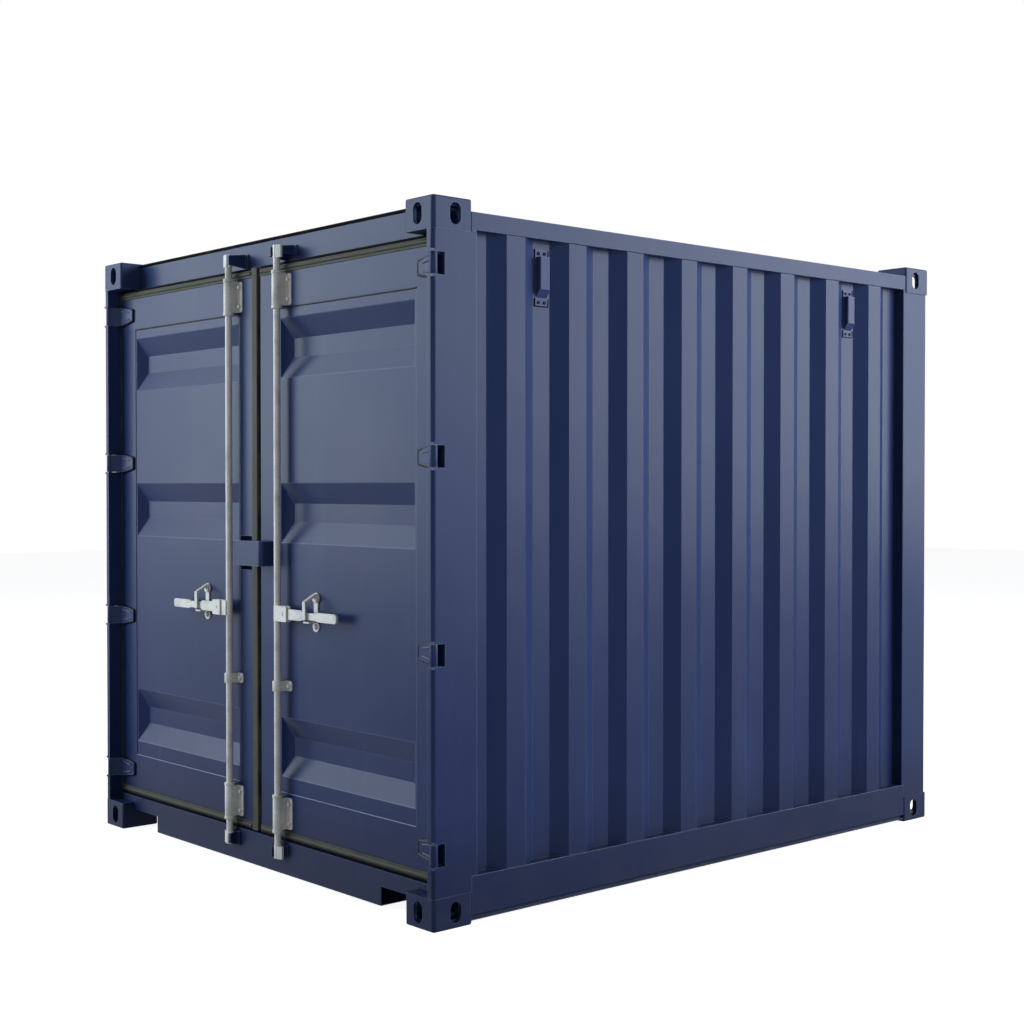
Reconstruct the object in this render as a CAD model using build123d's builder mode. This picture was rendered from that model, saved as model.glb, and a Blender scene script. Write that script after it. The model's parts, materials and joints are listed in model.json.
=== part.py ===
from build123d import *
import os

# Ten foot freight container with two outward swinging doors.
# Millimetres, +Z up. The doors face -Y, the blind end faces +Y, the ground is Z = 0
# and the origin is under the middle of the container.

os.makedirs("parts", exist_ok=True)

# Outside size
overall_length = 2991.0
overall_width = 2438.0
overall_height = 2591.0

# Corner castings
casting_length = 178.0
casting_width = 162.0
casting_height = 118.0
casting_slot_wall = 28.0
casting_side_wall = 16.0
slot_length = 124.5
slot_width = 63.5
slot_from_end = 102.0
slot_from_side = 89.5
aperture_height = 79.0
aperture_width = 51.0
aperture_from_foot = 58.0
casting_corner_rounding = 14.0
casting_inner_rounding = 9.0
casting_edge_rounding = 8.0

# How far each cut runs past the face it opens
cut_past = 1.0

# Posts
plate_set_in = 3.0
post_wall = 6.0
post_lip_width = 32.0
post_stop_width = 111.0
post_corner_radius = 14.0
post_wing = 24.5
post_wing_wall = 4.0
rear_post_side_width = 177.0
rear_set_in = 15.5
rear_post_return = 34.0

# Rails
base_clearance = 12.5
bottom_rail_height = 161.5
bottom_rail_width = 48.0
rail_wall = 5.0
rail_foot_height = 21.5
rail_foot_set_in = 12.0
rail_lip_set_in = 2.0
top_rail_drop = 107.0
top_rail_height = 65.0
top_rail_width = 60.0
top_rail_wall = 4.0

# Header and sill
header_set_back = 101.5
header_drop = 120.0
header_top_set_in = 6.0
header_lip_height = 46.0
header_wall = 4.0
sill_set_back = 54.5
sill_top = 147.0
sill_wall = 5.0
pocket_width = 219.0
pocket_top = 85.0
door_stop_from_front = 120.5

# Floor
floor_thickness = 28.0
crossmember_foot_gap = 1.0
crossmember_flange = 45.0
crossmember_wall = 4.5
crossmember_count = 8
board_columns = 2
board_rows = 3
board_joint = 1.0
floor_edge_gap = 1.0

# Corrugated walls
wall_thickness = 2.0
wall_set_in = 6.0
rib_depth = 36.0
rib_pitch = 312.3
rib_flat = 89.0
rib_slope = 70.0
rib_end_margin = 40.0

# Roof
roof_thickness = 2.0
roof_rib_height = 20.0
roof_rib_width = 150.0
roof_rib_slope = 24.0
roof_rib_pitch = 209.0
roof_rib_end_gap = 60.0
roof_edge_on_rail = 44.0

# Hinges
hinge_axis_from_side = 19.0
hinge_axis_from_front = 16.5
hinge_from_leaf_foot = 83.0
hinge_from_leaf_head = 75.0
hinge_shares = (0.0, 0.339, 0.675, 1.0)
hinge_notch_height = 96.0
hinge_notch_depth = 61.5
hinge_lug_thickness = 8.0
hinge_pin_radius = 8.0
hinge_pin_length = 104.0
hinge_running_gap = 0.1
knuckle_radius = 15.0
knuckle_height = 78.0
blade_thickness = 12.0
blade_reach = 116.0
blade_tip_height = 44.0
blade_tip_rounding = 13.0
blade_tip_thickness = 8.0
blade_bend_from_edge = 24.0
blade_heel_from_edge = 4.0
blade_leg_front_drop = 4.0
blade_leg_side_step = 2.0
blade_leg_overlap = 1.0

# Door leaves
leaf_face_from_front = 65.5
leaf_depth = 50.0
leaf_wall = 4.0
leaf_foot_gap = 39.0
leaf_head_gap = 43.0
leaf_post_gap = 7.0
right_leaf_inner_edge = 10.0
left_leaf_inner_edge = 50.0
outer_stile_width = 137.0
panel_inner_edge = 150.0
leaf_foot_rail = 153.0
leaf_head_rail = 143.0
panel_thickness = 2.0
low_recess_rise = 184.5
middle_recess_share = 0.578
top_recess_drop = 161.0
recess_height = 243.0
recess_floor_height = 75.0
recess_depth = 36.0
recess_margin = 8.0
recess_end_slope = 46.0

# Gaskets
gasket_end_gap = 3.0
gasket_side = 4.5
gasket_proud = 3.0
gasket_back_gap = 2.0
gasket_strip_edge = 14.0
gasket_lip_reach = 14.0
gasket_lip_set_back = 16.0
gasket_rounding = 5.0

# Lock bars
bar_from_middle = 182.0
bar_from_front = 31.5
bar_radius = 14.0
bar_wall = 4.0
fitting_gap = 0.1
bearing_gap = 0.3
bearing_height = 126.0
bottom_bearing_rise = 10.0
top_bearing_drop = 10.0
guide_height = 40.0
guide_rise = 566.0
bearing_wall = 6.5
bearing_flange = 36.0
bearing_flange_thickness = 6.0
bearing_flange_rounding = 9.0
collar_radius = 22.0
collar_height = 12.0
collar_gap = 0.5

# Cams and keepers
cam_height = 50.0
bottom_cam_drop = 17.0
top_cam_rise = 10.0
cam_hub_radius = 15.0
cam_lobe_reach = 20.5
cam_lobe_half_width = 8.0
cam_nose_reach = 33.0
cam_nose_front = 11.0
cam_nose_back = 5.0
cam_nose_tip = 4.0
keeper_wall = 8.0
keeper_foot = 24.0
keeper_foot_thickness = 7.0
keeper_cheek_gap = 3.5
keeper_lip_gap = 2.0
keeper_lip_edge = 16.5
keeper_prong_inner = 20.5
keeper_prong_gap = 3.0
keeper_over_cam = 4.0
keeper_prong_height = 38.0
keeper_taper = 10.0

# Handles
handle_below_recess = 399.0
hub_height = 62.0
hub_web_reach = 44.0
fork_start = 38.0
fork_reach = 96.0
fork_wall = 6.0
fork_gap = 1.0
fork_rounding = 6.0
handle_thickness = 10.0
handle_neck_width = 30.0
handle_neck_behind_pin = 18.0
handle_pin_from_bar = 68.0
handle_pin_radius = 7.0
handle_pin_proud = 2.0
handle_body_start = 104.0
handle_body_end = 190.0
handle_body_width = 41.0
handle_shoulder = 12.0
handle_waist_width = 27.0
handle_grip_length = 128.0
handle_grip_width = 36.0
handle_end_rounding = 12.0
handle_reach = 428.0
handle_from_bar_axis = 12.0

# Handle catches
catch_from_bar = 226.0
catch_pivot_rise = 69.0
catch_pin_radius = 6.0
catch_pin_proud = 2.0
catch_base_eye_radius = 21.0
catch_base_eye_drop = 43.0
catch_base_waist = 26.0
catch_base_hole_radius = 6.0
catch_base_thickness = 5.0
catch_shelf_drop = 8.0
catch_shelf_thickness = 6.0
catch_shelf_width = 40.0
catch_arm_thickness = 6.0
catch_arm_width = 18.0
catch_arm_gap = 5.0
catch_arm_reach = 84.0
catch_arm_end_rounding = 7.0
catch_eye_radius = 17.0
catch_neck_depth = 9.0
catch_neck_front_drop = 12.0
catch_neck_back_drop = 19.0

# Lock box
lock_box_left = -73.0
lock_box_right = 106.0
lock_box_below_recess = 216.0
lock_box_height = 101.0
lock_box_wall = 4.0
lock_box_bend = 18.0
pocket_left = -150.0
pocket_right = -56.0
pocket_below_box = 26.0
pocket_above_box = 19.0
pocket_depth = 38.0
pocket_wall = 3.0
staple_thickness = 8.0
staple_height = 70.0
staple_hole_radius = 11.0
staple_reach = 30.0
staple_hole_from_face = 14.0

# Vents
vent_height = 210.0
vent_below_rail = 32.0
vent_width = 66.0
vent_body_width = 52.0
vent_flange = 28.0
vent_flange_thickness = 2.0
vent_body_depth = 24.0
vent_slope = 34.0
vent_corner_rounding = 8.0
vent_hood_rounding = 6.0

# Places worked out from the sizes above
front = -overall_length / 2
rear = overall_length / 2
side = overall_width / 2
plate_side = side - plate_set_in
casting_inner_end = rear - casting_length
casting_inner_side = side - casting_width
rail_top = base_clearance + bottom_rail_height
top_rail_bottom = overall_height - top_rail_drop
top_rail_top = top_rail_bottom + top_rail_height
upper_casting_bottom = overall_height - casting_height
header_bottom = overall_height - header_drop
header_top = overall_height - header_top_set_in
header_lip_bottom = header_bottom - header_lip_height
leaf_face = front + leaf_face_from_front
leaf_back = leaf_face + leaf_depth
door_stop = front + door_stop_from_front
hinge_x = side - hinge_axis_from_side
hinge_y = front + hinge_axis_from_front
bar_y = front + bar_from_front
header_face = front + header_set_back
sill_face = front + sill_set_back
rear_face = rear - rear_set_in
wall_outer_face = plate_side - wall_set_in
wall_inner_face = wall_outer_face - rib_depth
end_wall_outer_face = rear_face - wall_set_in
post_lip_inner = plate_side - post_lip_width
post_stop_inner = plate_side - post_stop_width
leaf_bottom = sill_top + leaf_foot_gap
leaf_top = header_bottom - leaf_head_gap
leaf_outer_edge = post_lip_inner - leaf_post_gap
panel_outer_edge = leaf_outer_edge - outer_stile_width
panel_bottom = leaf_bottom + leaf_foot_rail
panel_top = leaf_top - leaf_head_rail
middle_recess = panel_bottom + middle_recess_share * (panel_top - panel_bottom)
recess_heights = (panel_bottom + low_recess_rise, middle_recess, panel_top - top_recess_drop)
low_hinge = leaf_bottom + hinge_from_leaf_foot
high_hinge = leaf_top - hinge_from_leaf_head
hinge_heights = [low_hinge + share * (high_hinge - low_hinge) for share in hinge_shares]
handle_y = bar_y - handle_from_bar_axis
handle_height = middle_recess - handle_below_recess
lock_box_bottom = middle_recess - lock_box_below_recess
lock_box_top = lock_box_bottom + lock_box_height
bottom_cam = (sill_top - bottom_cam_drop - cam_height, sill_top - bottom_cam_drop)
top_cam = (header_bottom + top_cam_rise, header_bottom + top_cam_rise + cam_height)
bottom_bearing_low = leaf_bottom + bottom_bearing_rise
bottom_bearing = (bottom_bearing_low, bottom_bearing_low + bearing_height)
top_bearing_high = leaf_top - top_bearing_drop
top_bearing = (top_bearing_high - bearing_height, top_bearing_high)
guide_bearing_low = leaf_bottom + guide_rise
guide_bearing = (guide_bearing_low, guide_bearing_low + guide_height)


def save(shape, name):
    """Labels one finished piece and writes it under its own name."""
    shape.label = name
    export_step(shape, f"parts/{name}.step")


def save_pair(shape, name):
    """Writes a right hand piece and its mirror image on the left."""
    save(mirror(shape, about=Plane.YZ), "left_" + name)
    save(shape, "right_" + name)


def block(x_range, y_range, z_range, mode=Mode.ADD):
    """A plain block between two limits on each axis."""
    middle = tuple(sum(limits) / 2 for limits in (x_range, y_range, z_range))
    with Locations(middle):
        Box(x_range[1] - x_range[0], y_range[1] - y_range[0], z_range[1] - z_range[0], mode=mode)


def outline(points, plane):
    """A closed face through the points, on the plane."""
    with BuildSketch(plane) as face:
        with BuildLine():
            Polyline(*points, close=True)
        make_face()
    return face.sketch


def rib_count(length):
    """How many wall ribs fit along a sheet of that length."""
    return int((length - rib_flat - 2 * rib_slope - 2 * rib_end_margin) // rib_pitch) + 1


def corrugation(start, end, low, high):
    """Outer face of a corrugated sheet as (along, across) points, its ribs centred on the sheet."""
    points = [(start, low)]
    count = rib_count(end - start)
    for k in range(count):
        middle = (start + end) / 2 + (k - (count - 1) / 2) * rib_pitch
        points += [(middle - rib_flat / 2 - rib_slope, low), (middle - rib_flat / 2, high)]
        points += [(middle + rib_flat / 2, high), (middle + rib_flat / 2 + rib_slope, low)]
    return points + [(end, low)]


def sheet(points, thickness):
    """Closes an outer face into the section of a sheet."""
    return points + [(along, across - thickness) for along, across in reversed(points)]


# Corner castings: hollow blocks with a slot on the outer level face and an oval on each upright face
def corner_castings(slot_face, inner_face):
    """Four castings at one level, the slot cut through slot_face towards inner_face."""
    up = 1 if inner_face > slot_face else -1
    middle_y = rear - casting_length / 2
    middle_x = side - casting_width / 2
    aperture_z = slot_face + up * aperture_from_foot
    with BuildPart() as castings:
        with GridLocations(2 * middle_x, 2 * middle_y, 2, 2):
            with Locations((0, 0, (slot_face + inner_face) / 2)):
                Box(casting_width, casting_length, casting_height)
        uprights = castings.edges().filter_by(Axis.Z).sort_by_distance((0, 0, slot_face))
        fillet(uprights[-4:], casting_corner_rounding)
        uprights = castings.edges().filter_by(Axis.Z).sort_by_distance((0, 0, slot_face))
        fillet(uprights[:12], casting_inner_rounding)
        fillet(castings.edges().filter_by_position(Axis.Z, slot_face, slot_face), casting_edge_rounding)
        hollow_middle = slot_face + up * (casting_height - casting_side_wall + casting_slot_wall) / 2
        hollow_height = casting_height - casting_slot_wall - casting_side_wall
        hollow_width = casting_width - 2 * casting_side_wall
        hollow_length = casting_length - 2 * casting_side_wall
        with GridLocations(2 * middle_x, 2 * middle_y, 2, 2):
            with Locations((0, 0, hollow_middle)):
                Box(hollow_width, hollow_length, hollow_height, mode=Mode.SUBTRACT)
        slot_x = side - slot_from_side
        slot_y = rear - slot_from_end
        with BuildSketch(Plane.XY.offset(slot_face)):
            with GridLocations(2 * slot_x, 2 * slot_y, 2, 2):
                SlotOverall(slot_length, slot_width, rotation=90)
        extrude(amount=up * (casting_slot_wall + cut_past), mode=Mode.SUBTRACT)
        for face_sign in (-1, 1):
            with BuildSketch(Plane.XZ.offset(face_sign * rear)):
                with Locations((-slot_x, aperture_z), (slot_x, aperture_z)):
                    SlotOverall(aperture_height, aperture_width, rotation=90)
            extrude(amount=-face_sign * (casting_side_wall + cut_past), mode=Mode.SUBTRACT)
            with BuildSketch(Plane.YZ.offset(face_sign * side)):
                with Locations((-slot_y, aperture_z), (slot_y, aperture_z)):
                    SlotOverall(aperture_height, aperture_width, rotation=90)
            extrude(amount=-face_sign * (casting_side_wall + cut_past), mode=Mode.SUBTRACT)
    return castings.part


save(corner_castings(0.0, casting_height), "bottom_corner_castings")
save(corner_castings(overall_height, upper_casting_bottom), "top_corner_castings")

# Door posts: a hollow lip beside the door and a hollow stop behind it, notched at each hinge
with BuildPart() as door_post:
    stop_back = -casting_inner_end
    with BuildSketch(Plane.XY.offset(casting_height)):
        with BuildLine():
            Polyline((post_lip_inner, front), (plate_side, front), (plate_side, stop_back),
                     (post_stop_inner, stop_back), (post_stop_inner, door_stop),
                     (post_lip_inner, door_stop), close=True)
        make_face()
        offset(amount=-post_wall, kind=Kind.INTERSECTION, mode=Mode.SUBTRACT)
    extrude(amount=upper_casting_bottom - casting_height)
    corner = door_post.edges().filter_by(Axis.Z).group_by(Axis.X)[-1].sort_by(Axis.Y)[0]
    fillet(corner, post_corner_radius)
    wing_range = (stop_back, stop_back + post_wing)
    block((plate_side - post_wing_wall, plate_side), wing_range, (rail_top, top_rail_bottom))
    for height in hinge_heights:
        low, high = height - hinge_notch_height / 2, height + hinge_notch_height / 2
        notch_back = front + hinge_notch_depth
        notch_range = (front - cut_past, notch_back)
        block((post_lip_inner - cut_past, side), notch_range, (low, high), Mode.SUBTRACT)
        block((post_lip_inner, plate_side), (front, notch_back), (low, low + hinge_lug_thickness))
        block((post_lip_inner, plate_side), (front, notch_back), (high - hinge_lug_thickness, high))
        block((post_lip_inner, plate_side), (notch_back - post_wall, notch_back), (low, high))
        bore_length = hinge_notch_height + 2 * cut_past
        with Locations((hinge_x, hinge_y, height)):
            Cylinder(hinge_pin_radius + hinge_running_gap, bore_length, mode=Mode.SUBTRACT)
save_pair(door_post.part, "door_post")

# Hinge pins through the lugs of both posts
with BuildPart() as hinge_pins:
    for height in hinge_heights:
        with Locations((-hinge_x, hinge_y, height), (hinge_x, hinge_y, height)):
            Cylinder(hinge_pin_radius, hinge_pin_length)
save(hinge_pins.part, "hinge_pins")

# Rear posts: a pressed plate round the blind corner, returned against the side and end walls
with BuildPart() as rear_post:
    wing_start = rear_face - rear_post_side_width
    inner_x = casting_inner_side
    return_end = rear_face - rear_post_return
    inside_x, inside_y = plate_side - post_wall, rear_face - post_wall
    with BuildSketch(Plane.XY.offset(casting_height)):
        with BuildLine():
            Polyline((plate_side, wing_start), (plate_side, rear_face), (inner_x, rear_face),
                     (inner_x, return_end), (inner_x + post_wall, return_end),
                     (inner_x + post_wall, inside_y), (inside_x, inside_y),
                     (inside_x, wing_start), close=True)
        make_face()
    extrude(amount=upper_casting_bottom - casting_height)
    block((inner_x, side), (wing_start, casting_inner_end), (casting_height, rail_top), Mode.SUBTRACT)
    clear_height = (rail_top, top_rail_bottom)
    block((wall_inner_face, plate_side), (wing_start, wing_start + post_wall), clear_height)
    block((plate_side - post_wall, plate_side), (wing_start, casting_inner_end), clear_height)
save_pair(rear_post.part, "rear_post")

# Bottom side rails: a channel whose foot steps in above a thin lip
with BuildPart() as bottom_rail:
    rail_inner = plate_side - bottom_rail_width
    foot_face = plate_side - rail_foot_set_in
    foot_top = base_clearance + rail_foot_height
    lip_top = base_clearance + rail_wall
    lip_face = plate_side - rail_lip_set_in
    outer_points = [(rail_inner, rail_top), (plate_side, rail_top), (plate_side, foot_top),
                    (foot_face, foot_top - rail_wall), (foot_face, lip_top), (lip_face, lip_top),
                    (lip_face, base_clearance), (rail_inner, base_clearance)]
    web_face = plate_side - rail_wall
    inner_points = [(rail_inner, lip_top), (foot_face - rail_wall, lip_top),
                    (foot_face - rail_wall, foot_top), (web_face, foot_top + rail_wall),
                    (web_face, rail_top - rail_wall), (rail_inner, rail_top - rail_wall)]
    profile = outline(outer_points + inner_points, Plane.XZ.offset(-casting_inner_end))
    extrude(profile, amount=2 * casting_inner_end)
save_pair(bottom_rail.part, "bottom_rail")

# Top side rails: square tube between the upper castings
with BuildPart() as top_rail:
    with BuildSketch(Plane.XZ.offset(-casting_inner_end)):
        with Locations((plate_side - top_rail_width / 2, top_rail_bottom + top_rail_height / 2)):
            Rectangle(top_rail_width, top_rail_height)
            offset(amount=-top_rail_wall, kind=Kind.INTERSECTION, mode=Mode.SUBTRACT)
    extrude(amount=2 * casting_inner_end)
save_pair(top_rail.part, "top_rail")

# Door header: a hollow beam with a lip that hangs behind the door heads
with BuildPart() as header:
    header_back = -casting_inner_end
    header_points = [(header_face, header_top), (header_face, header_bottom),
                     (door_stop, header_bottom), (door_stop, header_lip_bottom),
                     (header_back, header_lip_bottom), (header_back, header_top)]
    with BuildSketch(Plane.YZ.offset(-post_stop_inner)):
        with BuildLine():
            Polyline(*header_points, close=True)
        make_face()
        offset(amount=-header_wall, kind=Kind.INTERSECTION, mode=Mode.SUBTRACT)
    extrude(amount=2 * post_stop_inner)
    for x_range in ((-side, -casting_inner_side), (casting_inner_side, side)):
        y_range = (front, header_back + cut_past)
        block(x_range, y_range, (upper_casting_bottom, overall_height), Mode.SUBTRACT)
save(header.part, "door_header")

# Door sill: a hollow beam stepped up behind the door feet, with an open pocket beside each casting
with BuildPart() as sill:
    sill_back = -casting_inner_end
    sill_points = [(sill_face, base_clearance), (sill_face, sill_top), (door_stop, sill_top),
                   (door_stop, rail_top), (sill_back, rail_top), (sill_back, base_clearance)]
    with BuildSketch(Plane.YZ.offset(-post_lip_inner)):
        with BuildLine():
            Polyline(*sill_points, close=True)
        make_face()
        offset(amount=-sill_wall, kind=Kind.INTERSECTION, mode=Mode.SUBTRACT)
    extrude(amount=2 * post_lip_inner)
    for x_range in ((-side, -casting_inner_side), (casting_inner_side, side)):
        block(x_range, (front, sill_back + cut_past), (0, casting_height), Mode.SUBTRACT)
    above_castings = (casting_height - cut_past, rail_top + cut_past)
    for x_range in ((-side, -post_stop_inner), (post_stop_inner, side)):
        block(x_range, (door_stop, sill_back + cut_past), above_castings, Mode.SUBTRACT)
    pocket_inner = casting_inner_side - pocket_width
    for x_range in ((-casting_inner_side, -pocket_inner), (pocket_inner, casting_inner_side)):
        block(x_range, (front, sill_back + cut_past), (0, pocket_top), Mode.SUBTRACT)
save(sill.part, "door_sill")

# Rear rails between the rear castings
with BuildPart() as rear_bottom_rail:
    rail_front = rear_face - bottom_rail_width
    web_inner = rear_face - rail_wall
    channel_points = [(rail_front, rail_top), (rear_face, rail_top), (rear_face, base_clearance),
                      (rail_front, base_clearance), (rail_front, base_clearance + rail_wall),
                      (web_inner, base_clearance + rail_wall), (web_inner, rail_top - rail_wall),
                      (rail_front, rail_top - rail_wall)]
    profile = outline(channel_points, Plane.YZ.offset(-casting_inner_side))
    extrude(profile, amount=2 * casting_inner_side)
save(rear_bottom_rail.part, "rear_bottom_rail")

with BuildPart() as rear_top_rail:
    with BuildSketch(Plane.YZ.offset(-casting_inner_side)):
        with Locations((rear_face - top_rail_width / 2, top_rail_bottom + top_rail_height / 2)):
            Rectangle(top_rail_width, top_rail_height)
            offset(amount=-top_rail_wall, kind=Kind.INTERSECTION, mode=Mode.SUBTRACT)
    extrude(amount=2 * casting_inner_side)
save(rear_top_rail.part, "rear_top_rail")

# Floor bearers: channels across the bottom rails
floor_bottom = rail_top - floor_thickness
floor_front = -casting_inner_end
floor_rear = rear_face - bottom_rail_width - floor_edge_gap
with BuildPart() as crossmembers:
    bearer_low = foot_top + rail_wall + crossmember_foot_gap
    spacing = (floor_rear - floor_front) / crossmember_count
    for k in range(crossmember_count):
        web = floor_front + (k + 0.5) * spacing
        flange_end = web + crossmember_flange
        web_back = web + crossmember_wall
        foot_inside = bearer_low + crossmember_wall
        head_inside = floor_bottom - crossmember_wall
        channel_points = [(web, bearer_low), (flange_end, bearer_low), (flange_end, foot_inside),
                          (web_back, foot_inside), (web_back, head_inside),
                          (flange_end, head_inside), (flange_end, floor_bottom),
                          (web, floor_bottom)]
        profile = outline(channel_points, Plane.YZ.offset(-web_face))
        extrude(profile, amount=2 * web_face)
    for x_range in ((-side, -casting_inner_side), (casting_inner_side, side)):
        block(x_range, (casting_inner_end, rear), (0, casting_height), Mode.SUBTRACT)
save(crossmembers.part, "floor_crossmembers")

# Floor boards with a thin joint between them
with BuildPart() as boards:
    half_width = plate_side - bottom_rail_width - floor_edge_gap
    board_width = 2 * half_width / board_columns
    board_length = (floor_rear - floor_front) / board_rows
    with Locations((0, (floor_front + floor_rear) / 2, rail_top - floor_thickness / 2)):
        with GridLocations(board_width, board_length, board_columns, board_rows):
            Box(board_width - board_joint, board_length - board_joint, floor_thickness)
save(boards.part, "floor_boards")

# Side walls: vertical ribs between the bottom and top rails
wall_front = -casting_inner_end
wall_rear = rear_face - rear_post_side_width
with BuildPart() as side_wall:
    face = corrugation(wall_front, wall_rear, wall_inner_face, wall_outer_face)
    section = [(across, along) for along, across in sheet(face, wall_thickness)]
    profile = outline(section, Plane.XY.offset(rail_top))
    extrude(profile, amount=top_rail_bottom - rail_top)
save_pair(side_wall.part, "side_wall")

# End wall between the rear posts
with BuildPart() as end_wall:
    half = casting_inner_side
    face = corrugation(-half, half, end_wall_outer_face - rib_depth, end_wall_outer_face)
    profile = outline(sheet(face, wall_thickness), Plane.XY.offset(rail_top))
    extrude(profile, amount=top_rail_bottom - rail_top)
save(end_wall.part, "end_wall")

# Roof: one sheet with raised cross ribs, its edges on the rails
with BuildPart() as roof:
    roof_front = -casting_inner_end
    half_width = plate_side - top_rail_width + roof_edge_on_rail
    sheet_range = (top_rail_top, top_rail_top + roof_thickness)
    block((-half_width, half_width), (roof_front, casting_inner_end), sheet_range)
    block((-casting_inner_side, casting_inner_side), (casting_inner_end, rear_face), sheet_range)
    rib_length = 2 * (plate_side - top_rail_width - roof_rib_end_gap)
    roof_ribs = int((2 * casting_inner_end - roof_rib_width) // roof_rib_pitch) + 1
    rib_places = [(0, (k - (roof_ribs - 1) / 2) * roof_rib_pitch) for k in range(roof_ribs)]
    for grow, mode in ((0.0, Mode.ADD), (roof_thickness, Mode.SUBTRACT)):
        for place in rib_places:
            foot = Plane.XY.offset(top_rail_top + (0 if mode == Mode.SUBTRACT else roof_thickness))
            head = Plane.XY.offset(top_rail_top + roof_rib_height + roof_thickness - grow)
            with BuildSketch(foot):
                with Locations(place):
                    Rectangle(rib_length - 2 * grow, roof_rib_width - 2 * grow)
            with BuildSketch(head):
                with Locations(place):
                    Rectangle(rib_length - 2 * roof_rib_slope - 2 * grow,
                              roof_rib_width - 2 * roof_rib_slope - 2 * grow)
            loft(mode=mode)
save(roof.part, "roof_panel")

# Wall vents: a raised hood between two screw flanges, in the second valley from each end
with BuildPart() as vents:
    low = top_rail_bottom - vent_below_rail - vent_height
    high = top_rail_bottom - vent_below_rail
    valley = rib_count(wall_rear - wall_front) / 2 - 1
    for rib_gap in (-valley, valley):
        middle = (wall_front + wall_rear) / 2 + rib_gap * rib_pitch
        with BuildSketch(Plane.YZ.offset(wall_inner_face)):
            with Locations((middle, (low + high) / 2)):
                RectangleRounded(vent_width, vent_height, vent_corner_rounding)
        extrude(amount=vent_flange_thickness)
        hood_face = wall_inner_face + vent_body_depth
        hood_points = [(wall_inner_face, low + vent_flange), (hood_face, low + vent_flange + vent_slope),
                       (hood_face, high - vent_flange), (wall_inner_face, high - vent_flange)]
        profile = outline(hood_points, Plane.XZ.offset(-(middle - vent_body_width / 2)))
        extrude(profile, amount=-vent_body_width)
    fillet(vents.edges().filter_by(Axis.Z).group_by(Axis.X)[-1], vent_hood_rounding)
save_pair(vents.part, "wall_vents")

# Cam keepers: beside each cam a horn with a lip that holds the lobe, and a prong behind the nose
def keeper(face, cam):
    """Horn and prong of one keeper, on the face of the header or the sill, beside the right hand bar."""
    foot_face = face - keeper_foot_thickness
    cheek = bar_from_middle - cam_lobe_reach - keeper_cheek_gap
    lip_back = bar_y - cam_lobe_half_width - keeper_lip_gap
    lip_front = lip_back - keeper_wall
    lip_edge = bar_from_middle - keeper_lip_edge
    horn_points = [(cheek - keeper_foot, face), (cheek, face), (cheek, lip_back), (lip_edge, lip_back),
                   (lip_edge, lip_front), (cheek - keeper_wall, lip_front), (cheek - keeper_wall, foot_face),
                   (cheek - keeper_foot, foot_face)]
    prong = bar_from_middle + keeper_prong_inner
    prong_front = bar_y + cam_nose_back + keeper_prong_gap
    foot_end = prong + keeper_foot
    prong_points = [(prong, face), (prong, prong_front), (prong + keeper_wall, prong_front),
                    (prong + keeper_wall, foot_face), (foot_end, foot_face), (foot_end, face)]
    keeper_low, keeper_high = cam[0] - keeper_over_cam, cam[1] + keeper_over_cam
    prong_low = keeper_high - keeper_prong_height
    for points, low in ((horn_points, keeper_low), (prong_points, prong_low)):
        profile = outline(points, Plane.XY.offset(low))
        extrude(profile, amount=keeper_high - low)
    tip = lip_front - cut_past
    for edge, inwards in ((keeper_low, 1), (keeper_high, -1)):
        wedge_points = [(foot_face, edge), (tip, edge + inwards * keeper_taper),
                        (tip, edge - inwards * cut_past), (foot_face, edge - inwards * cut_past)]
        wedge_start = cheek - keeper_foot - cut_past
        wedge = outline(wedge_points, Plane.YZ.offset(wedge_start))
        extrude(wedge, amount=foot_end + cut_past - wedge_start, mode=Mode.SUBTRACT)


with BuildPart() as keepers:
    keeper(header_face, top_cam)
    keeper(sill_face, bottom_cam)
    mirror(about=Plane.YZ)
save(keepers.part, "cam_keepers")


# Doors
pocket_low = lock_box_bottom - pocket_below_box
pocket_high = lock_box_top + pocket_above_box


def door_leaf(inner_edge, name, hand):
    """Stiles and rails of one leaf, built on the right and mirrored for the left."""
    with BuildPart() as stiles:
        for low, high in ((inner_edge, panel_inner_edge), (panel_outer_edge, leaf_outer_edge)):
            with BuildSketch(Plane.XY.offset(leaf_bottom)):
                with Locations(((low + high) / 2, (leaf_face + leaf_back) / 2)):
                    Rectangle(high - low, leaf_depth)
                    offset(amount=-leaf_wall, kind=Kind.INTERSECTION, mode=Mode.SUBTRACT)
            extrude(amount=leaf_top - leaf_bottom)
        if hand < 0:
            cut_range = (leaf_face - cut_past, leaf_face + pocket_depth)
            block((-pocket_right, -pocket_left), cut_range, (pocket_low, pocket_high), Mode.SUBTRACT)
    with BuildPart() as rails:
        for low, high in ((leaf_bottom, panel_bottom), (panel_top, leaf_top)):
            block((panel_inner_edge, panel_outer_edge), (leaf_face, leaf_face + leaf_wall), (low, high))
            block((panel_inner_edge, panel_outer_edge), (leaf_face, leaf_back), (low, low + leaf_wall))
            block((panel_inner_edge, panel_outer_edge), (leaf_face, leaf_back), (high - leaf_wall, high))
    for shape, part_name in ((stiles.part, "door_stiles"), (rails.part, "door_rails")):
        if hand < 0:
            shape = mirror(shape, about=Plane.YZ)
        save(shape, name + part_name)


door_leaf(right_leaf_inner_edge, "right_", 1)
door_leaf(left_leaf_inner_edge, "left_", -1)

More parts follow.
